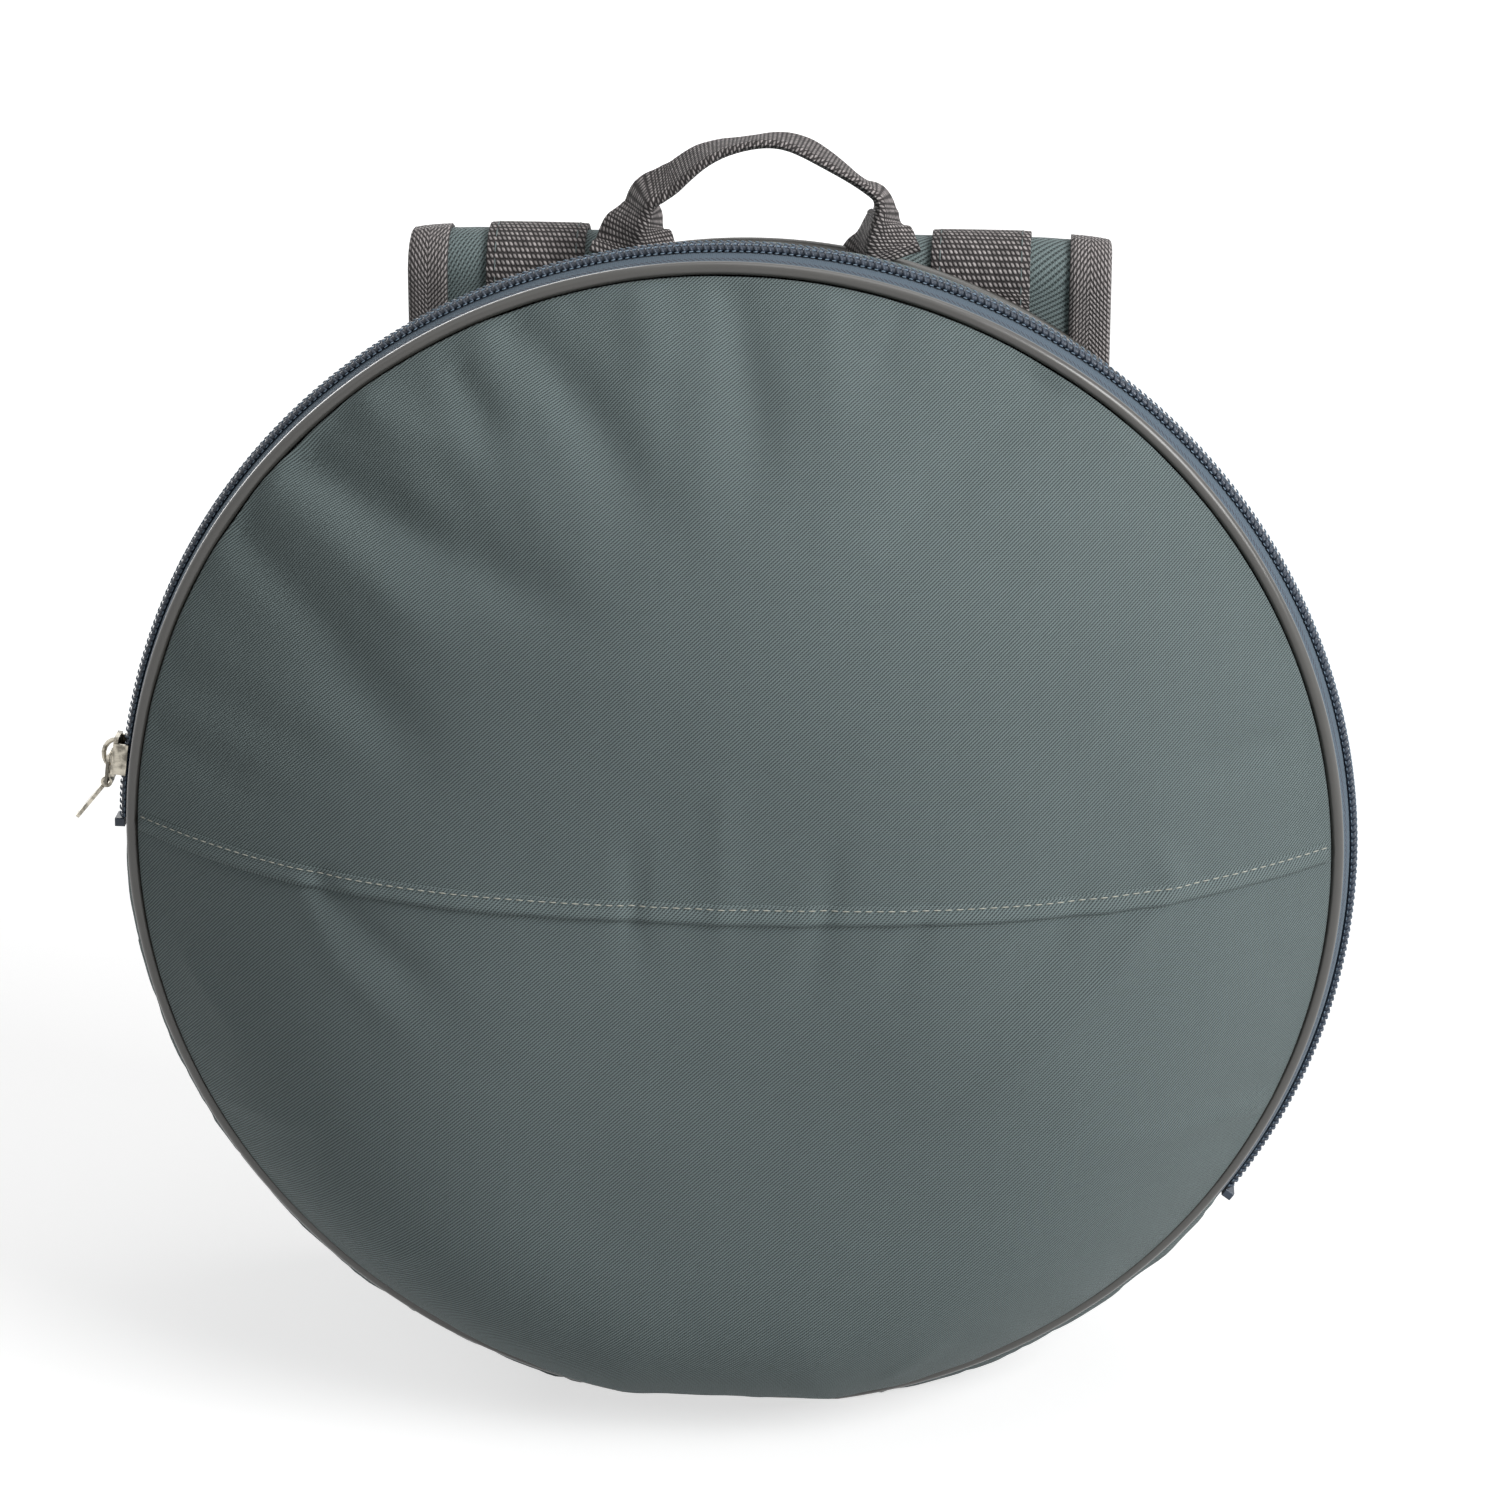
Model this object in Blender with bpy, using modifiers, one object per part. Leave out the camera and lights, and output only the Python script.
"""A round padded backpack bag for a steel tongue drum, standing on its flattened bottom, front towards -Y."""

import math

import bmesh
import bpy
from mathutils import Matrix, Vector

# Body: a front rim, a wider zip ring just behind it and a smaller back rim
RIM_RADIUS = 0.148
BODY_DEPTH = 0.088
ZIP_SETBACK = 0.0135
ZIP_FLARE = 0.0036
ZIP_DROP = 0.0026
BACK_RADIUS = 0.141
BACK_DROP = 0.009
SHOULDER_ROUNDING = 0.004
FLOOR_SAG = 0.0025
FRONT_CROWN = 0.046
BACK_CROWN = 0.008

# Fullness of the crowned panels, as powers of the distance from their middle
TOP_POWER = 2.4
BOTTOM_POWER = 9.5
POWER_FADE = 3.6
BACK_POWER = 2.2

# Layers, from outside in, and the clearance between touching pieces
CLOTH = 0.0006
FOAM = 0.005
LINING = 0.0004
GAP = 0.0003
PIPING_RADIUS = 0.0016
MITRE_SHARE = 0.3

# Lap seam across the front, where the lid folds
SEAM_RISE = 0.005
HEM_WIDTH = 0.0047

# Zip: two tapes with a coil each, stops at its ends and one slider
TAPE_WIDTH = 0.0086
COIL_RADIUS = 0.0012
ZIP_START = math.radians(179.3)
ZIP_END = math.radians(-36)
STOP_LENGTH = 0.0022
STOP_HEIGHT = 0.0024
STOP_WIDTH = 0.0058

# Slider, along the chain, across it and out from it
SLIDER_ANGLE = math.radians(172.4)
SLIDER_LENGTH = 0.0104
SLIDER_TAIL_SHARE = 0.82
SLIDER_PLATE = 0.0011
SLIDER_PLAY = 0.0004
SLIDER_LIP = 0.00075
SLIDER_ROUNDING = 0.0012
POST_WIDTH = 0.0006
POST_LENGTH = 0.0032
BRIDGE_HALF_SPAN = 0.0037
BRIDGE_RISE = 0.003
BRIDGE_RADIUS = 0.0006
LINK_RADIUS = 0.00045
LINK_LENGTH = 0.0072
LINK_WIDTH = 0.0054
TAB_LENGTH = 0.0115
TAB_WIDTH = 0.0036
TAB_FLARE_SHARE = 1.3
TAB_THICKNESS = 0.0009
TAB_EYE_WALL = 0.0007
TAB_TILT = math.radians(32)

# Carry handle: webbing folded lengthwise over its grip and flat at its sewn legs
WEBBING = 0.0014
WEBBING_WIDTH = 0.025
HANDLE_HALF_SPAN = 0.034
HANDLE_SETBACK = 0.005
HANDLE_LEG = 0.003
HANDLE_RISE = 0.0205
HANDLE_WEB = 0.0026
HANDLE_FLAT_ARC = math.radians(12)
HANDLE_FOLD_ARC = math.radians(40)

# Shoulder straps: a padded strap over a loop at the top, webbing on its outer face
STRAP_OFFSET = 0.0565
PAD_WIDTH = 0.064
PAD_THICKNESS = 0.007
PAD_LENGTH = 0.158
PAD_TAPER = 0.026
PAD_END_SHARE = 0.5
LOOP_RADIUS = 0.007
LOOP_RISE = 0.0005
STRAP_SEWN = 0.011
BINDING = 0.0008
BINDING_REACH = 0.0095

# Ladder lock: three bars across two slots, one webbing round each outer bar
LOCK_WIDTH = 0.031
LOCK_THICKNESS = 0.0036
LOCK_RAIL = 0.0026
LOCK_BAR = 0.0034
LOCK_SLOT = 0.0056
LOCK_ROUNDING = 0.0006
LOCK_DISTANCE = 0.014
WEBBING_RETURN = 0.011
TAIL_LENGTH = 0.066

# Lower tab that holds the adjusting webbing
TAB_PLATE = 0.002
TAB_PLATE_LENGTH = 0.026
TAB_PLATE_BASE = 0.042

# Facets
STATION_ANGLE = math.radians(7.2)
PANEL_RINGS = 5
BACK_RINGS = 3
FLARE_ROW_SHARE = 0.45
LOOP_STEPS = 3
TUBE_RESOLUTION = 2
ROD_SEGMENTS = 16
SLOPE_STEP = 0.0001
WELD_DISTANCE = 0.000001

# Places that follow from the sizes
FRONT_Y = -BODY_DEPTH / 2
BACK_Y = BODY_DEPTH / 2
ZIP_Y = FRONT_Y + ZIP_SETBACK
ZIP_RADIUS = RIM_RADIUS + ZIP_FLARE
CENTRE_HEIGHT = RIM_RADIUS + PIPING_RADIUS - FLOOR_SAG
SEAM_HEIGHT = CENTRE_HEIGHT + SEAM_RISE
HINGE_Y = FRONT_Y - FRONT_CROWN - CLOTH - 2 * GAP
FOAM_DEPTH = CLOTH + GAP
LINING_DEPTH = FOAM_DEPTH + FOAM + GAP
WALL = LINING_DEPTH + LINING + GAP
BEAD_MARGIN = PIPING_RADIUS + GAP
COIL_GAP = POST_WIDTH + 2 * GAP
COIL_OFFSET = COIL_GAP / 2 + COIL_RADIUS
REAR_TAPE_END = ZIP_Y + COIL_GAP / 2 + TAPE_WIDTH
COIL_TOP = GAP + 2 * COIL_RADIUS
LIP_INSIDE = COIL_OFFSET + COIL_RADIUS + SLIDER_PLAY
SLIDER_WIDTH = 2 * (LIP_INSIDE + SLIDER_LIP)
PLATE_UNDERSIDE = COIL_TOP + SLIDER_PLAY
PLATE_TOP = PLATE_UNDERSIDE + SLIDER_PLATE
LOWER_PLATE_TOP = -CLOTH - 3 * SLIDER_PLAY
LINK_HEIGHT = PLATE_TOP + LINK_RADIUS + 2 * GAP
SLIDER_ARC = (SLIDER_LENGTH / 2 + 2 * GAP) / ZIP_RADIUS
LID_ZIP_START = SLIDER_ANGLE - SLIDER_ARC
SEAM_ANGLE = math.asin(SEAM_RISE / RIM_RADIUS)
STOP_ARC = (STOP_LENGTH + 2 * GAP) / ZIP_RADIUS
HANDLE_Y = BACK_Y - HANDLE_SETBACK
STRAP_Y = BACK_Y + BEAD_MARGIN + WEBBING + GAP + PAD_THICKNESS / 2
WEBBING_OUT = PAD_THICKNESS / 2 + GAP + WEBBING / 2
LOCK_TURN = LOCK_THICKNESS / 2 + GAP + WEBBING / 2
RAISED_OUT = WEBBING_OUT + BINDING + 2 * GAP
LOCK_OUT = RAISED_OUT - LOCK_TURN
TOP_BAR = PAD_LENGTH + LOCK_DISTANCE
BOTTOM_BAR = TOP_BAR + 2 * (LOCK_BAR + LOCK_SLOT)
UPPER_TURN = TOP_BAR + LOCK_BAR / 2
LOWER_TURN = BOTTOM_BAR - LOCK_BAR / 2

COLLECTION = bpy.data.collections.new("tongue_drum_bag")
HELPERS = bpy.data.collections.new("construction")

FINISHES = {
    "cloth": ((0.155, 0.19, 0.19), 0.75, 0.0),
    "foam": ((0.75, 0.75, 0.72), 0.9, 0.0),
    "lining": ((0.05, 0.06, 0.065), 0.7, 0.0),
    "piping": ((0.12, 0.115, 0.1), 0.3, 0.0),
    "tape": ((0.1, 0.13, 0.16), 0.8, 0.0),
    "coil": ((0.05, 0.07, 0.11), 0.4, 0.0),
    "nickel": ((0.62, 0.58, 0.5), 0.3, 1.0),
    "webbing": ((0.13, 0.11, 0.1), 0.7, 0.0),
    "plastic": ((0.03, 0.03, 0.03), 0.45, 0.0),
}


def finish_of(name):
    """The material of one sub-part, made new for each node."""
    colour, roughness, metallic = FINISHES[name]
    material = bpy.data.materials.new(name)
    material.use_nodes = True
    shader = material.node_tree.nodes["Principled BSDF"]
    shader.inputs["Base Color"].default_value = (*colour, 1)
    shader.inputs["Roughness"].default_value = roughness
    shader.inputs["Metallic"].default_value = metallic
    return material


def clear_scene():
    for obj in list(bpy.data.objects):
        bpy.data.objects.remove(obj)
    for collection in (COLLECTION, HELPERS):
        bpy.context.scene.collection.children.link(collection)


def add_object(name, data, finish, pivot=None):
    """A node of the bag. Its data is in world places, and a pivot is the empty on its joint's axis."""
    obj = bpy.data.objects.new(name, data)
    data.materials.append(finish_of(finish))
    COLLECTION.objects.link(obj)
    if pivot:
        hang(obj, pivot)
    return obj


def hang(obj, pivot):
    """Parents an object with world-placed data to a pivot, without moving it."""
    obj.data.transform(Matrix.Translation(-world_place(pivot)))
    obj.parent = pivot


def world_place(pivot):
    """The world place of an unturned pivot, through its parents."""
    place = pivot.location.copy()
    while pivot.parent:
        pivot = pivot.parent
        place += pivot.location
    return place


def add_pivot(name, place, parent=None):
    pivot = bpy.data.objects.new(name, None)
    COLLECTION.objects.link(pivot)
    pivot.location = Vector(place) - (world_place(parent) if parent else Vector())
    pivot.parent = parent
    return pivot


def mesh_of(bm, name):
    mesh = bpy.data.meshes.new(name)
    bm.to_mesh(mesh)
    bm.free()
    mesh.shade_smooth()
    return mesh


def add_solidify(obj, thickness, offset):
    modifier = obj.modifiers.new("thickness", "SOLIDIFY")
    modifier.thickness = thickness
    modifier.offset = offset
    modifier.use_quality_normals = True


def flat_grid(columns, rows):
    """A triangulated unit grid from 0 to 1, to be laid onto a surface."""
    bm = bmesh.new()
    bmesh.ops.create_grid(bm, x_segments=columns, y_segments=rows, size=0.5)
    bmesh.ops.translate(bm, vec=(0.5, 0.5, 0), verts=bm.verts)
    bmesh.ops.triangulate(bm, faces=bm.faces, quad_method="FIXED")
    return bm


def shell(name, columns, rows, surface, thickness, finish, pivot=None):
    """A layer between surface(u, v, 0) and surface(u, v, thickness), u and v from 0 to 1."""
    bm = flat_grid(columns, rows)
    bmesh.ops.solidify(bm, geom=bm.faces, thickness=1)
    for vertex in bm.verts:
        vertex.co = surface(vertex.co.x, vertex.co.y, abs(vertex.co.z) * thickness)
    bmesh.ops.remove_doubles(bm, verts=bm.verts, dist=WELD_DISTANCE)
    bmesh.ops.recalc_face_normals(bm, faces=bm.faces)
    return add_object(name, mesh_of(bm, name), finish, pivot)


def closed_shell(name, columns, rows, surface, thickness, finish):
    """A layer that closes on itself round a middle point, thickened inwards."""
    bm = flat_grid(columns, rows)
    for vertex in bm.verts:
        vertex.co = surface(vertex.co.x, vertex.co.y)
    bmesh.ops.remove_doubles(bm, verts=bm.verts, dist=WELD_DISTANCE)
    obj = add_object(name, mesh_of(bm, name), finish)
    add_solidify(obj, thickness, -1)
    return obj


def tube(name, points, radius, finish, pivot=None):
    """A round tube along points, with flat closed ends."""
    curve = bpy.data.curves.new(name, "CURVE")
    curve.dimensions = "3D"
    curve.bevel_depth = radius
    curve.bevel_resolution = TUBE_RESOLUTION
    curve.use_fill_caps = True
    spline = curve.splines.new("POLY")
    spline.points.add(len(points) - 1)
    for point, place in zip(spline.points, points):
        point.co = (*place, 1)
    return add_object(name, curve, finish, pivot)


def blend(start, end, share):
    return start + (end - start) * share


def stations(start, end):
    return math.ceil(abs(end - start) / STATION_ANGLE)


def on_floor(point, depth):
    """Lifts a point to its own depth above the floor, where the bag's bottom is flattened."""
    point.z = max(point.z, depth)
    return point


def dome_power(angle):
    """How full the front stands at an angle round the rim: slack at the top, heavy at the bottom."""
    fullness = (1 - math.sin(angle)) / 2
    return TOP_POWER + (BOTTOM_POWER - TOP_POWER) * fullness**POWER_FADE


def flattened_radius(angle, radius, centre):
    """The radius of a rim, cut short where its piping lies on the floor."""
    down = -math.sin(angle)
    return min(radius, (centre - PIPING_RADIUS) / down) if down > 0 else radius


def front_rim(angle):
    return flattened_radius(angle, RIM_RADIUS, CENTRE_HEIGHT)


def back_rim(angle):
    return flattened_radius(angle, BACK_RADIUS, CENTRE_HEIGHT - BACK_DROP)


def dome_height(x, z):
    angle = math.atan2(z, x)
    return FRONT_CROWN * (1 - (math.hypot(x, z) / front_rim(angle)) ** dome_power(angle))


def back_height(x, z):
    return BACK_CROWN * (1 - (math.hypot(x, z) / back_rim(math.atan2(z, x))) ** BACK_POWER)


def crowned_point(height, x, z, depth, rim_y, facing, centre):
    """A point at a depth under a crowned panel, from the panel's height over its flat rim plane."""
    slope_x = (height(x + SLOPE_STEP, z) - height(x - SLOPE_STEP, z)) / (2 * SLOPE_STEP)
    slope_z = (height(x, z + SLOPE_STEP) - height(x, z - SLOPE_STEP)) / (2 * SLOPE_STEP)
    normal = Vector((-slope_x, facing, -slope_z)).normalized()
    place = Vector((x, rim_y + facing * height(x, z), centre + z))
    return on_floor(place - normal * depth, max(depth, 0))


def front_point(x, z, depth):
    return crowned_point(dome_height, x, z, depth, FRONT_Y, -1, CENTRE_HEIGHT)


def back_point(x, z, depth):
    return crowned_point(back_height, x, z, depth, BACK_Y, 1, CENTRE_HEIGHT - BACK_DROP)


def gusset_section(y):
    """Radius and centre drop of the side wall at y, and how fast both change with y."""
    if y < ZIP_Y:
        share = (y - FRONT_Y) / ZIP_SETBACK
        rise = 2 * share - share**2
        rate = (2 - 2 * share) / ZIP_SETBACK
        return RIM_RADIUS + ZIP_FLARE * rise, ZIP_DROP * rise, ZIP_FLARE * rate, ZIP_DROP * rate
    run = y - ZIP_Y
    length = math.hypot(BACK_Y - ZIP_Y, SHOULDER_ROUNDING) - SHOULDER_ROUNDING
    share = (math.hypot(run, SHOULDER_ROUNDING) - SHOULDER_ROUNDING) / length
    rate = run / math.hypot(run, SHOULDER_ROUNDING) / length
    narrowing = BACK_RADIUS - ZIP_RADIUS
    lowering = BACK_DROP - ZIP_DROP
    radius = ZIP_RADIUS + narrowing * share
    return radius, ZIP_DROP + lowering * share, narrowing * rate, lowering * rate


def gusset_point(angle, y, depth):
    radius, drop, radius_rate, drop_rate = gusset_section(y)
    around = Vector((math.cos(angle), 0, math.sin(angle)))
    lean = radius_rate - drop_rate * around.z
    normal = Vector((around.x, -lean, around.z)).normalized()
    place = Vector((0, y, CENTRE_HEIGHT - drop)) + around * radius
    return on_floor(place - normal * depth, max(depth, 0))


def gusset_top(x, y):
    """Height of the side wall's top over x."""
    radius, drop = gusset_section(y)[:2]
    return CENTRE_HEIGHT - drop + math.sqrt(radius**2 - x**2)


def mitre(inner_depth):
    """How far a layer stops short of the front rim, so that its square edge clears its neighbour's."""
    return BEAD_MARGIN + MITRE_SHARE * inner_depth


def ring_share(v):
    """Rings of a panel, closer together towards its rim."""
    return 1 - (1 - v) ** 1.5


def front_panel(name, upper, layer_depth, thickness, finish, pivot=None):
    """Half of the front, fanned out from the middle of the lap seam."""
    side = 1 if upper else -1
    pole = SEAM_RISE + side * GAP / 2

    def rim(angle):
        radius = front_rim(angle)
        slope = FRONT_CROWN * dome_power(angle) / radius
        return radius - mitre(layer_depth + thickness) / math.hypot(1, slope)

    corner = math.asin(pole / rim(0))
    start = corner if upper else math.pi - corner
    end = math.pi - corner if upper else 2 * math.pi + corner

    def surface(u, v, depth):
        angle = blend(start, end, u)
        share = ring_share(v)
        x = rim(angle) * math.cos(angle) * share
        z = blend(pole, rim(angle) * math.sin(angle), share)
        return front_point(x, z, layer_depth + depth)

    shell(name, stations(start, end), PANEL_RINGS, surface, thickness, finish, pivot)


def back_panel(name, layer_depth, thickness, finish):
    """The back. Its padding stops inside the side wall's, and its cloth reaches to the piping."""
    margin = WALL if layer_depth else BEAD_MARGIN

    def surface(u, v):
        angle = 2 * math.pi * u
        radius = (back_rim(angle) - margin) * ring_share(v)
        return back_point(radius * math.cos(angle), radius * math.sin(angle), layer_depth)

    closed_shell(name, stations(0, 2 * math.pi), BACK_RINGS, surface, thickness, finish)


def side_wall(name, start, end, places, layer_depth, thickness, finish, pivot=None):
    """A strip of the side wall between two angles, with its rows at places along its depth."""
    clearance = GAP / 2 / BACK_RADIUS
    rows = len(places) - 1

    def surface(u, v, depth):
        angle = blend(start + clearance, end - clearance, u)
        return gusset_point(angle, places[round(v * rows)], layer_depth + depth)

    shell(name, stations(start, end), rows, surface, thickness, finish, pivot)


def make_layers():
    """Cloth, foam and lining of the front, the side wall and the back."""
    lid = bpy.data.objects["lid_pivot"]
    layers = (("cloth", 0, CLOTH), ("foam", FOAM_DEPTH, FOAM), ("lining", LINING_DEPTH, LINING))
    for finish, depth, thickness in layers:
        back = BACK_Y - BEAD_MARGIN
        front_panel("lid_" + finish, True, depth, thickness, finish, lid)
        front_panel("pouch_" + finish, False, depth, thickness, finish)
        back_panel("back_" + finish, depth, thickness, finish)
        shoulder = REAR_TAPE_END + GAP
        upper = (shoulder, (shoulder + BACK_Y) / 2, back)
        lower = (FRONT_Y + mitre(WALL), FRONT_Y + FLARE_ROW_SHARE * ZIP_SETBACK, ZIP_Y, *upper)
        if finish == "cloth":
            lower = (FRONT_Y + mitre(CLOTH), *lower)
        start, end = ZIP_START, 2 * math.pi + ZIP_END
        side_wall("gusset_lower_" + finish, start, end, lower, depth, thickness, finish)
        side_wall("gusset_upper_" + finish, ZIP_END, ZIP_START, upper, depth, thickness, finish)


def make_lap_hem():
    """The folded lower edge of the upper panel, lying over the lower panel."""
    reach = RIM_RADIUS - 3 * BEAD_MARGIN
    proud = GAP + CLOTH

    def surface(u, v, depth):
        x = blend(-reach, reach, u)
        z = SEAM_RISE - GAP - HEM_WIDTH * v
        return front_point(x, z, depth - proud)

    shell("lap_hem", stations(0, math.pi), 1, surface, CLOTH, "cloth")


def rim_points(start, end, radius, centre, y, bead):
    count = stations(start, end)
    angles = [blend(start, end, step / count) for step in range(count + 1)]
    points = [
        Vector((radius * math.cos(a), y, centre + radius * math.sin(a))) for a in angles
    ]
    return [on_floor(point, bead) for point in points]


def make_piping():
    """Piping beads: the front one is cut where the lid folds, and the back one has a butt joint below."""
    clearance = GAP / 2 / RIM_RADIUS
    start = SEAM_ANGLE + clearance
    above = rim_points(start, math.pi - start, RIM_RADIUS, CENTRE_HEIGHT, FRONT_Y, PIPING_RADIUS)
    tube("lid_piping", above, PIPING_RADIUS, "piping", bpy.data.objects["lid_pivot"])
    start = math.pi - SEAM_ANGLE + clearance
    end = 2 * math.pi + SEAM_ANGLE - clearance
    below = rim_points(start, end, RIM_RADIUS, CENTRE_HEIGHT, FRONT_Y, PIPING_RADIUS)
    tube("pouch_piping", below, PIPING_RADIUS, "piping")
    start = -math.pi / 2 + clearance
    end = start + 2 * math.pi - 2 * clearance
    centre = CENTRE_HEIGHT - BACK_DROP
    behind = rim_points(start, end, BACK_RADIUS, centre, BACK_Y, PIPING_RADIUS)
    tube("back_piping", behind, PIPING_RADIUS, "piping")


def zip_side(suffix, start, end, ahead, coil_start, coil_end, pivot=None):
    """One tape with its coil. The tape ahead of the chain reaches to the piping."""
    edge = ZIP_Y - COIL_GAP / 2 if ahead else ZIP_Y + COIL_GAP / 2
    far = FRONT_Y + BEAD_MARGIN if ahead else REAR_TAPE_END
    places = (min(edge, far), (edge + far) / 2, max(edge, far))
    side_wall("zip_tape_" + suffix, start, end, places, 0, CLOTH, "tape", pivot)
    clearance = GAP / 2 / ZIP_RADIUS
    y = ZIP_Y - COIL_OFFSET if ahead else ZIP_Y + COIL_OFFSET
    radius = ZIP_RADIUS + GAP + COIL_RADIUS
    centre = CENTRE_HEIGHT - ZIP_DROP
    path = rim_points(coil_start + clearance, coil_end - clearance, radius, centre, y, COIL_RADIUS)
    tube("zip_coil_" + suffix, path, COIL_RADIUS, "coil", pivot)


def chain_frame(angle):
    """Axes on the chain: X along it towards the zip's start, Z outwards."""
    around = Vector((math.cos(angle), 0, math.sin(angle)))
    along = Vector((-math.sin(angle), 0, math.cos(angle)))
    across = Vector((0, -1, 0))
    place = Vector((0, ZIP_Y, CENTRE_HEIGHT - ZIP_DROP)) + around * ZIP_RADIUS
    columns = (along, across, around, place)
    return Matrix([[column[row] for column in columns] for row in range(3)] + [[0, 0, 0, 1]])


def block(size, centre, rounding=0.0):
    """A box in a bmesh, its upright edges rounded."""
    bm = bmesh.new()
    bmesh.ops.create_cube(bm, size=1)
    bmesh.ops.scale(bm, vec=size, verts=bm.verts)
    bmesh.ops.translate(bm, vec=centre, verts=bm.verts)
    if rounding:
        upright = [
            edge for edge in bm.edges
            if abs(edge.verts[0].co.z - edge.verts[1].co.z) > size[2] / 2
        ]
        bmesh.ops.bevel(
            bm, geom=upright, offset=rounding, segments=3, profile=0.5, affect="EDGES", material=-1
        )
    return bm


def helper_of(name, mesh, matrix):
    helper = bpy.data.objects.new(name, mesh)
    HELPERS.objects.link(helper)
    helper.matrix_world = matrix
    helper.hide_render = True
    helper.display_type = "WIRE"
    return helper


def add_boolean(obj, other, operation):
    modifier = obj.modifiers.new(other.name, "BOOLEAN")
    modifier.operation = operation
    modifier.object = other


def wire_mesh(name, points, radius, cyclic=False):
    """A round wire through points as a closed mesh in its own frame."""
    curve = bpy.data.curves.new(name, "CURVE")
    curve.dimensions = "3D"
    curve.bevel_depth = radius
    curve.bevel_resolution = TUBE_RESOLUTION
    curve.use_fill_caps = not cyclic
    spline = curve.splines.new("POLY")
    spline.points.add(len(points) - 1)
    spline.use_cyclic_u = cyclic
    for point, place in zip(spline.points, points):
        point.co = (*place, 1)
    obj = bpy.data.objects.new(name, curve)
    COLLECTION.objects.link(obj)
    bpy.context.view_layer.update()
    graph = bpy.context.evaluated_depsgraph_get()
    mesh = bpy.data.meshes.new_from_object(obj.evaluated_get(graph))
    bpy.data.objects.remove(obj)
    bm = bmesh.new()
    bm.from_mesh(mesh)
    bmesh.ops.remove_doubles(bm, verts=bm.verts, dist=WELD_DISTANCE)
    return mesh_of(bm, name)


def make_stop(name, angle):
    bm = block((STOP_LENGTH, STOP_WIDTH, STOP_HEIGHT), (0, 0, 2 * GAP + STOP_HEIGHT / 2), SLIDER_PLAY)
    bm.transform(chain_frame(angle))
    add_object(name, mesh_of(bm, name), "nickel")


def make_zip():
    lid = bpy.data.objects["lid_pivot"]
    first = ZIP_START - STOP_ARC
    last = ZIP_END + STOP_ARC
    zip_side("rear", ZIP_END, ZIP_START, False, last, first)
    zip_side("start", LID_ZIP_START, ZIP_START, True, LID_ZIP_START, first)
    zip_side("end", ZIP_END, SEAM_ANGLE, True, last, SEAM_ANGLE)
    zip_side("lid", SEAM_ANGLE, LID_ZIP_START, True, SEAM_ANGLE, LID_ZIP_START, lid)
    make_stop("zip_stop_start", ZIP_START - STOP_ARC / 2)
    make_stop("zip_stop_end", ZIP_END + STOP_ARC / 2)


def slider_plate(low, high):
    """One plate: a shield that narrows towards its tail."""
    centre = (0, 0, (low + high) / 2)
    bm = block((SLIDER_LENGTH, SLIDER_WIDTH, high - low), centre, SLIDER_ROUNDING)
    for vertex in bm.verts:
        tail = 0.5 - vertex.co.x / SLIDER_LENGTH
        vertex.co.y *= blend(1, SLIDER_TAIL_SHARE, tail)
    return bm


def slider_lip(side):
    """One side of the upper plate, turned down beside the coil and following the plate's taper."""
    low = SLIDER_PLAY
    size = (SLIDER_LENGTH - 2 * SLIDER_ROUNDING, SLIDER_LIP, PLATE_TOP - GAP - low)
    middle = LIP_INSIDE + SLIDER_LIP / 2
    return block(size, (0, side * middle, (low + PLATE_TOP - GAP) / 2))


def make_slider():
    """Two plates joined by a post between the coils, side lips and a bridge for the pull."""
    frame = chain_frame(SLIDER_ANGLE)
    pivot = add_pivot("slider_pivot", (0, ZIP_Y, CENTRE_HEIGHT - ZIP_DROP))
    bm = slider_plate(PLATE_UNDERSIDE, PLATE_TOP)
    bm.transform(frame)
    body = add_object("slider_body", mesh_of(bm, "slider_body"), "nickel", pivot)
    nose = SLIDER_LENGTH / 2 - SLIDER_ROUNDING - POST_LENGTH / 2
    low = LOWER_PLATE_TOP - SLIDER_PLATE / 2
    post = block((POST_LENGTH, POST_WIDTH, PLATE_UNDERSIDE + GAP - low), (nose, 0, (low + PLATE_UNDERSIDE + GAP) / 2))
    steps = 8
    arch = [
        (
            BRIDGE_HALF_SPAN * math.cos(math.pi * step / steps),
            0,
            PLATE_TOP - BRIDGE_RADIUS / 2 + BRIDGE_RISE * math.sin(math.pi * step / steps),
        )
        for step in range(steps + 1)
    ]
    unions = {
        "lower_plate": mesh_of(slider_plate(LOWER_PLATE_TOP - SLIDER_PLATE, LOWER_PLATE_TOP), "lower_plate"),
        "post": mesh_of(post, "post"),
        "lip_front": mesh_of(slider_lip(1), "lip_front"),
        "lip_rear": mesh_of(slider_lip(-1), "lip_rear"),
        "bridge": wire_mesh("bridge", arch, BRIDGE_RADIUS),
    }
    for name, mesh in unions.items():
        add_boolean(body, helper_of(name, mesh, frame), "UNION")


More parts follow.
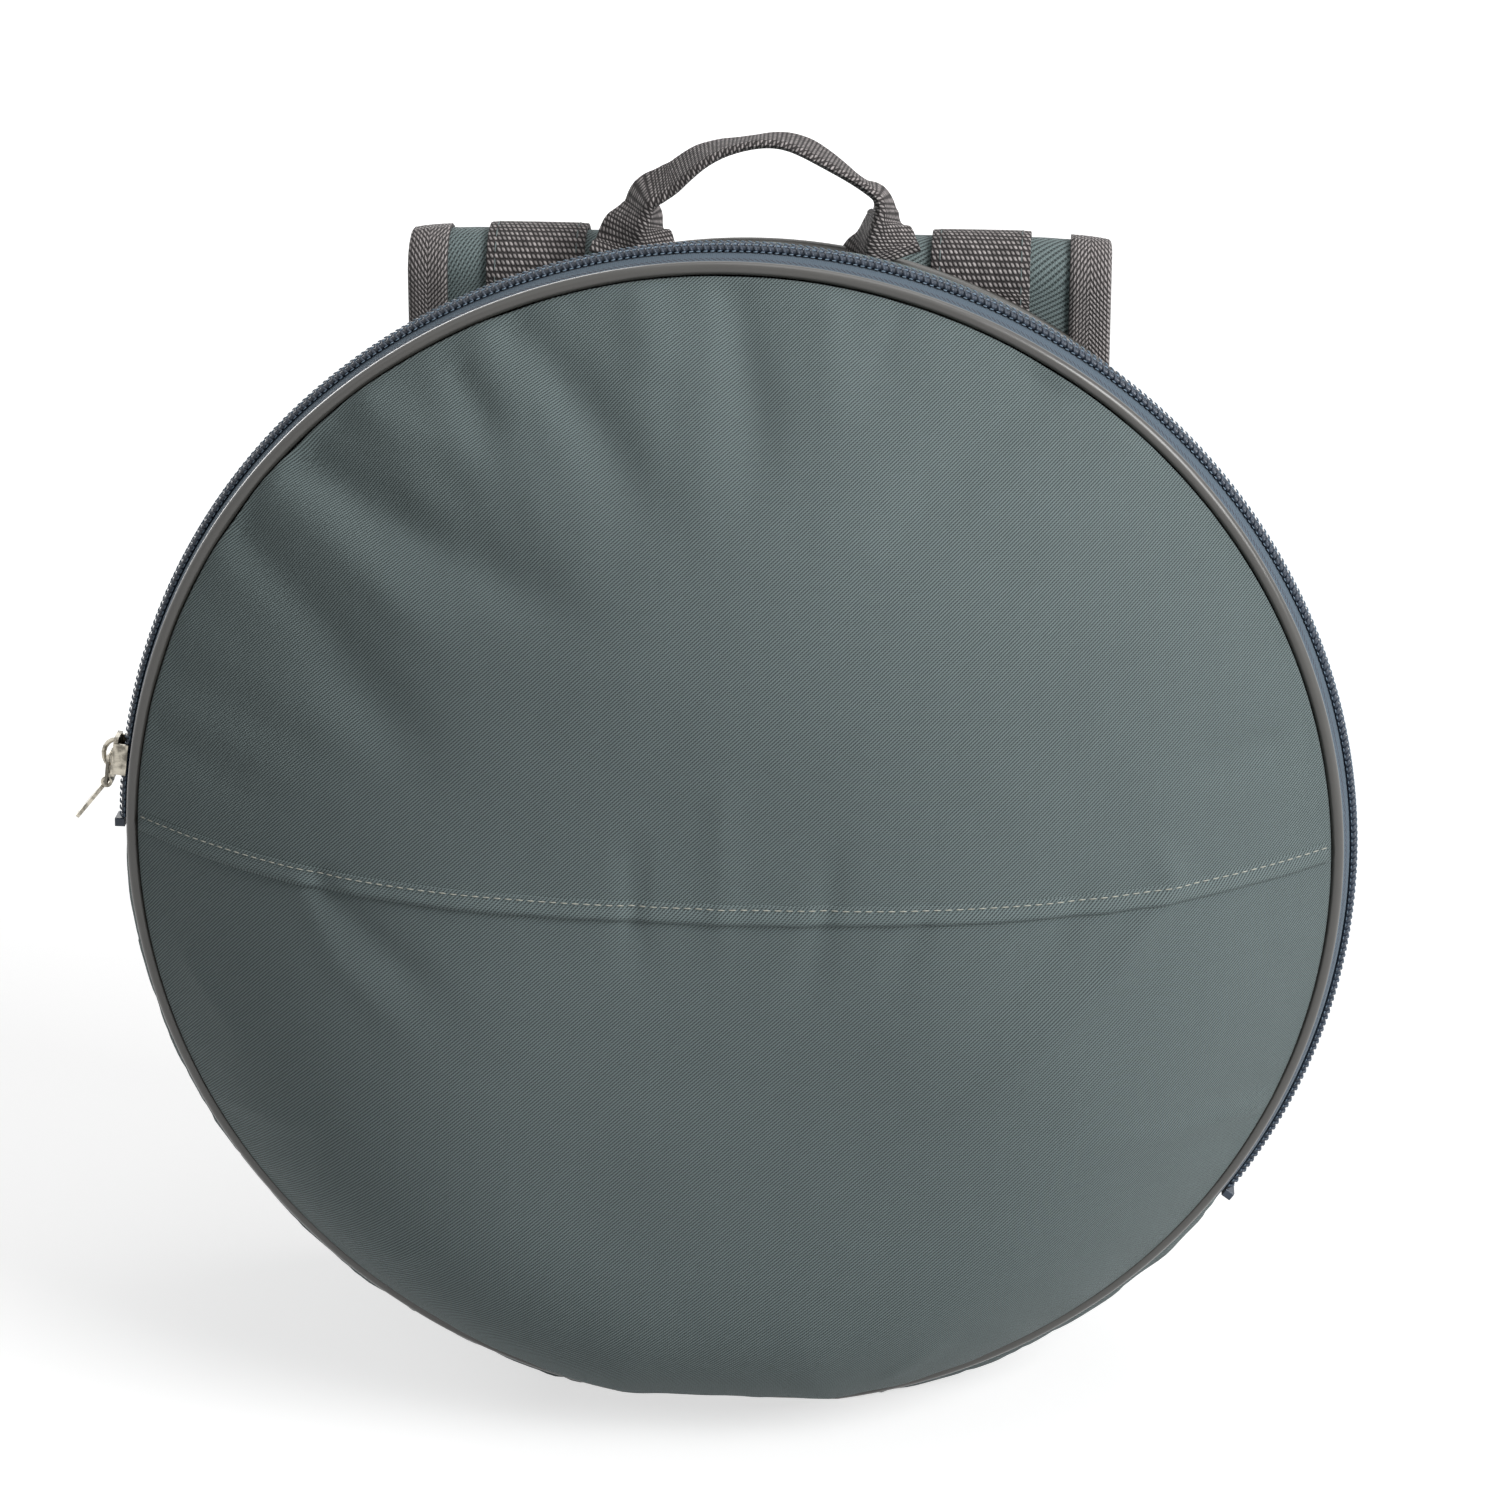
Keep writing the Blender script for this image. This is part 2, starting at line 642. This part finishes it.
def make_pull():
    """A wire link under the bridge and a flat tab that swings on the link's far bar."""
    frame = chain_frame(SLIDER_ANGLE)
    slider = bpy.data.objects["slider_pivot"]
    link_pivot = add_pivot("link_pivot", frame @ Vector((0, 0, LINK_HEIGHT)), slider)
    corner = LINK_WIDTH / 2
    points = [
        (0, corner, LINK_HEIGHT), (0, -corner, LINK_HEIGHT),
        (LINK_LENGTH, -corner, LINK_HEIGHT), (LINK_LENGTH, corner, LINK_HEIGHT),
    ]
    mesh = wire_mesh("pull_link", points, LINK_RADIUS, cyclic=True)
    mesh.transform(frame)
    add_object("pull_link", mesh, "nickel", link_pivot)
    place = frame @ Vector((LINK_LENGTH, 0, LINK_HEIGHT))
    tab_pivot = add_pivot("tab_pivot", place, link_pivot)
    turned = frame.copy()
    turned.translation = place
    turned = turned @ Matrix.Rotation(-TAB_TILT, 4, "Y")
    bore = LINK_RADIUS + GAP
    roll = bore + TAB_EYE_WALL
    start = bore + TAB_EYE_WALL / 2
    bm = block((TAB_LENGTH, TAB_WIDTH, TAB_THICKNESS), (start + TAB_LENGTH / 2, 0, 0), SLIDER_ROUNDING)
    for vertex in bm.verts:
        vertex.co.y *= blend(1, TAB_FLARE_SHARE, (vertex.co.x - start) / TAB_LENGTH)
    bm.transform(turned)
    tab = add_object("pull_tab", mesh_of(bm, "pull_tab"), "nickel", tab_pivot)
    eye = rod_mesh("tab_eye", roll, TAB_WIDTH)
    add_boolean(tab, helper_of("tab_eye", eye, turned), "UNION")
    cutter = rod_mesh("tab_bore", bore, 2 * TAB_WIDTH)
    add_boolean(tab, helper_of("tab_bore", cutter, turned), "DIFFERENCE")


def rod_mesh(name, radius, length):
    """A closed round rod along Y."""
    bm = bmesh.new()
    bmesh.ops.create_cone(
        bm, cap_ends=True, segments=ROD_SEGMENTS, radius1=radius, radius2=radius, depth=length
    )
    bm.transform(Matrix.Rotation(math.pi / 2, 4, "X"))
    return mesh_of(bm, name)


def handle_section(place, outward, fold, index):
    """One of the four edges of the folded webbing: fold 0 is flat, fold 1 has its two halves together."""
    half_web = HANDLE_WEB / 2
    ply = WEBBING_WIDTH / 2 - half_web
    turn = math.pi / 2 * fold
    offsets = (
        (-half_web * math.cos(turn) - ply, -half_web * math.sin(turn)),
        (-half_web * math.cos(turn), -half_web * math.sin(turn)),
        (half_web * math.cos(turn), half_web * math.sin(turn)),
        (
            half_web * math.cos(turn) + ply * math.cos(2 * turn),
            half_web * math.sin(turn) + ply * math.sin(2 * turn),
        ),
    )
    out, behind = offsets[index]
    return place + outward * (out + ply / 2 * fold) + Vector((0, 1, 0)) * behind


def make_handle():
    """A folded grip that hinges forward above its two sewn legs, on the front face of the webbing."""
    axis = gusset_top(HANDLE_HALF_SPAN - WEBBING_WIDTH / 2, HANDLE_Y) + HANDLE_LEG
    pivot = add_pivot("handle_pivot", (0, HANDLE_Y - WEBBING / 2, axis))

    def grip(u, v):
        angle = blend(GAP / HANDLE_RISE, math.pi - GAP / HANDLE_RISE, v)
        place = Vector((HANDLE_HALF_SPAN * math.cos(angle), HANDLE_Y, axis + HANDLE_RISE * math.sin(angle)))
        outward = Vector((HANDLE_RISE * math.cos(angle), 0, HANDLE_HALF_SPAN * math.sin(angle)))
        fold = min(1, max(0, min(angle, math.pi - angle) - HANDLE_FLAT_ARC) / HANDLE_FOLD_ARC)
        return handle_section(place, outward.normalized(), fold, round(3 * u))

    ribbon("handle_grip", 3, 16, grip, pivot)
    for name, side in (("handle_leg_right", 1), ("handle_leg_left", -1)):

        def leg(u, v, side=side):
            x = side * HANDLE_HALF_SPAN + (u - 0.5) * WEBBING_WIDTH
            foot = gusset_top(x, HANDLE_Y - WEBBING / 2) + GAP
            return Vector((x, HANDLE_Y, blend(foot, axis - GAP, v)))

        ribbon(name, 3, 1, leg, None)


def ribbon(name, columns, rows, surface, pivot, thickness=WEBBING, finish="webbing"):
    """A band centred on surface(u, v)."""
    bm = flat_grid(columns, rows)
    for vertex in bm.verts:
        vertex.co = surface(vertex.co.x, vertex.co.y)
    obj = add_object(name, mesh_of(bm, name), finish, pivot)
    add_solidify(obj, thickness, 0)
    return obj


def lower_seam(x):
    """Height of the lower back seam under x."""
    return CENTRE_HEIGHT - BACK_DROP - math.sqrt(BACK_RADIUS**2 - x**2)


def hanging_length(z):
    """The length along the strap's path at which it hangs at height z."""
    turned = LOOP_RISE + (math.pi + strap_lean()) * LOOP_RADIUS
    straight = strap_base() + LOOP_RISE - LOOP_RADIUS * math.sin(strap_lean()) - z
    return turned + straight / math.cos(strap_lean())


def strap_base():
    """Height of the back seam over the strap's middle."""
    return CENTRE_HEIGHT - BACK_DROP + math.sqrt(BACK_RADIUS**2 - STRAP_OFFSET**2)


def strap_lean():
    """How much the hanging strap leans in, so that it ends on the lower tab."""
    low = lower_seam(STRAP_OFFSET) + PIPING_RADIUS
    stack = PIPING_RADIUS + 2 * GAP + TAB_PLATE + WEBBING / 2 + LOCK_TURN - LOCK_OUT
    return math.atan2(STRAP_Y + 2 * LOOP_RADIUS - BACK_Y - stack, strap_base() + LOOP_RISE - low)


def strap_path(s):
    """Place and direction in the YZ plane after a length s: up from the seam, round the loop and down."""
    if s < LOOP_RISE:
        return (STRAP_Y, strap_base() + s), (0, 1)
    centre = (STRAP_Y + LOOP_RADIUS, strap_base() + LOOP_RISE)
    sweep = math.pi + strap_lean()
    turned = min((s - LOOP_RISE) / LOOP_RADIUS, sweep)
    past = s - LOOP_RISE - turned * LOOP_RADIUS
    angle = math.pi - turned
    along = (math.sin(angle), -math.cos(angle))
    y = centre[0] + LOOP_RADIUS * math.cos(angle) + along[0] * past
    return (y, centre[1] + LOOP_RADIUS * math.sin(angle) + along[1] * past), along


def strap_point(side, across, s, out):
    (y, z), (along_y, along_z) = strap_path(s)
    return Vector((side * STRAP_OFFSET + across, y - along_z * out, z + along_y * out))


def loop_top():
    return LOOP_RISE + math.pi / 2 * LOOP_RADIUS


def pad_half_width(s):
    """Half the pad's width: even, then rounded in towards its lower end."""
    past = max(0, s - (PAD_LENGTH - PAD_TAPER)) / PAD_TAPER
    return PAD_WIDTH / 2 * blend(PAD_END_SHARE, 1, math.sqrt(max(0, 1 - past**2)))


def sewn_start(side, across):
    """Where the strap starts under the curved back seam, as a length along its path."""
    x = side * STRAP_OFFSET + across
    seam = CENTRE_HEIGHT - BACK_DROP + math.sqrt(BACK_RADIUS**2 - x**2)
    return seam - STRAP_SEWN - strap_base()


def head_rows(side, across):
    """Lengths along the sewn head at one place across it, up to the loop's top."""
    arc = math.pi / 2 * LOOP_RADIUS
    bend = [LOOP_RISE + arc * step / LOOP_STEPS for step in range(LOOP_STEPS)]
    return [sewn_start(side, across), *bend, loop_top()]


def strap_rows(end):
    """Steps down the hanging strap: short round the loop and long below it."""
    first = loop_top() + GAP
    turn = LOOP_RISE + (math.pi + strap_lean()) * LOOP_RADIUS
    bend = [blend(first, turn, step / LOOP_STEPS) for step in range(1, LOOP_STEPS)]
    return [first, *bend] + [blend(turn, end, step / 5) for step in range(6)]


def list_ribbon(name, side, route, width, thickness, finish, pivot):
    """A band across the strap along a list of (length along the strap, distance out)."""

    def surface(u, v):
        s, out = route[round(v * (len(route) - 1))]
        return strap_point(side, (u - 0.5) * width, s, out)

    return ribbon(name, 1, len(route) - 1, surface, pivot, thickness, finish)


def make_strap(suffix, side):
    """One shoulder strap: a sewn head over the seam, and a hanging pad that hinges at the loop's top."""
    top_out = WEBBING_OUT + WEBBING / 2 + GAP
    pivot = add_pivot("strap_pivot_" + suffix, strap_point(side, 0, loop_top(), top_out))

    last = len(head_rows(side, 0)) - 1

    def head(u, v, depth):
        across = (u - 0.5) * PAD_WIDTH
        s = head_rows(side, across)[round(v * last)]
        return strap_point(side, across, s, PAD_THICKNESS / 2 - depth)

    shell("strap_head_" + suffix, 6, last, head, PAD_THICKNESS, "cloth")
    rows = strap_rows(PAD_LENGTH)

    def pad(u, v, depth):
        s = rows[round(v * (len(rows) - 1))]
        across = (2 * u - 1) * pad_half_width(s)
        return strap_point(side, across, s, PAD_THICKNESS / 2 - depth)

    shell("strap_pad_" + suffix, 4, len(rows) - 1, pad, PAD_THICKNESS, "cloth", pivot)
    make_binding(suffix, side, rows, pivot)

    def webbing_head(u, v, depth):
        across = (u - 0.5) * WEBBING_WIDTH
        s = head_rows(side, across)[round(v * last)]
        return strap_point(side, across, s, WEBBING_OUT + WEBBING / 2 - depth)

    shell("strap_webbing_head_" + suffix, 1, last, webbing_head, WEBBING, "webbing")
    route = [(s, WEBBING_OUT) for s in strap_rows(PAD_LENGTH - 3 * BINDING_REACH)]
    route += [(PAD_LENGTH - 2 * BINDING_REACH, RAISED_OUT), (UPPER_TURN, RAISED_OUT)]
    turn = [math.pi * step / 6 for step in range(1, 7)]
    route += [(UPPER_TURN + LOCK_TURN * math.sin(a), LOCK_OUT + LOCK_TURN * math.cos(a)) for a in turn]
    route.append((TOP_BAR - WEBBING_RETURN, LOCK_OUT - LOCK_TURN))
    list_ribbon("strap_webbing_" + suffix, side, route, WEBBING_WIDTH, WEBBING, "webbing", pivot)
    make_lock(suffix, side, pivot)
    make_adjuster(suffix, side, pivot)


def make_binding(suffix, side, rows, pivot):
    """The woven edge binding, folded round the pad's two sides and its end."""
    out = PAD_THICKNESS / 2 + GAP + BINDING / 2
    start, end = rows[0], rows[-1]
    edge = [(-pad_half_width(s), s) for s in rows]
    rim = edge + [(-across, s) for across, s in reversed(edge)]
    inner = [
        (across * (1 - BINDING_REACH / abs(across)), min(s, end - BINDING_REACH) if s > start else s)
        for across, s in rim
    ]

    def surface(u, v):
        index = round(v * (len(rim) - 1))
        leg = round(3 * u)
        across, s = rim[index]
        if leg in (0, 3):
            across, s = inner[index]
            return strap_point(side, across, s, out if leg == 0 else -out)
        past = math.copysign(GAP + BINDING / 2, across)
        beyond = GAP + BINDING / 2 if s >= end else 0
        return strap_point(side, across + past, s + beyond, out if leg == 1 else -out)

    ribbon("strap_binding_" + suffix, 3, len(rim) - 1, surface, pivot, BINDING, "webbing")


def lock_frame(side):
    """Axes on the ladder lock: X across the strap, Y down along it and Z out from it."""
    place = strap_point(side, 0, (TOP_BAR + BOTTOM_BAR) / 2, LOCK_OUT)
    down = (strap_point(side, 0, BOTTOM_BAR, LOCK_OUT) - place).normalized()
    outward = (strap_point(side, 0, (TOP_BAR + BOTTOM_BAR) / 2, LOCK_OUT + LOCK_BAR) - place).normalized()
    columns = (down.cross(outward), down, outward, place)
    return Matrix([[column[row] for column in columns] for row in range(3)] + [[0, 0, 0, 1]])


def make_lock(suffix, side, pivot):
    frame = lock_frame(side)
    length = 3 * LOCK_BAR + 2 * LOCK_SLOT
    bm = block((LOCK_WIDTH, length, LOCK_THICKNESS), (0, 0, 0), LOCK_BAR / 2)
    bm.transform(frame)
    name = "ladder_lock_" + suffix
    lock = add_object(name, mesh_of(bm, name), "plastic", pivot)
    for label, place in (("upper", -1), ("lower", 1)):
        slot = block(
            (LOCK_WIDTH - 2 * LOCK_RAIL, LOCK_SLOT, 2 * LOCK_THICKNESS),
            (0, place * (LOCK_BAR + LOCK_SLOT) / 2, 0), LOCK_ROUNDING,
        )
        cutter = helper_of(f"{label}_slot_{suffix}", mesh_of(slot, "slot"), frame)
        add_boolean(lock, cutter, "DIFFERENCE")


def make_adjuster(suffix, side, pivot):
    """The adjusting webbing: up from the lower tab, over the lock's last bar and down as a loose tail."""
    foot = hanging_length(lower_seam(STRAP_OFFSET) + PIPING_RADIUS)
    inner = LOCK_OUT - LOCK_TURN
    route = [(blend(foot - GAP, LOWER_TURN, step / 3), inner) for step in range(4)]
    turn = [math.pi * step / 6 for step in range(1, 7)]
    route += [(LOWER_TURN - LOCK_TURN * math.sin(a), LOCK_OUT - LOCK_TURN * math.cos(a)) for a in turn]
    route.append((BOTTOM_BAR + TAIL_LENGTH, LOCK_OUT + LOCK_TURN))
    list_ribbon("adjuster_" + suffix, side, route, WEBBING_WIDTH, WEBBING, "webbing", pivot)
    centre = inner - WEBBING / 2 - GAP - TAB_PLATE / 2

    def plate(u, v):
        across = (u - 0.5) * blend(TAB_PLATE_BASE, WEBBING_WIDTH, v)
        seam = hanging_length(lower_seam(side * STRAP_OFFSET + across) + PIPING_RADIUS)
        return strap_point(side, across, blend(seam, foot - TAB_PLATE_LENGTH, v), centre)

    ribbon("lower_tab_" + suffix, 4, 1, plate, None, TAB_PLATE, "cloth")


def main():
    clear_scene()
    add_pivot("lid_pivot", (0, HINGE_Y, SEAM_HEIGHT))
    make_layers()
    make_lap_hem()
    make_piping()
    make_zip()
    make_slider()
    make_pull()
    make_handle()
    for suffix, side in (("right", 1), ("left", -1)):
        make_strap(suffix, side)


main()
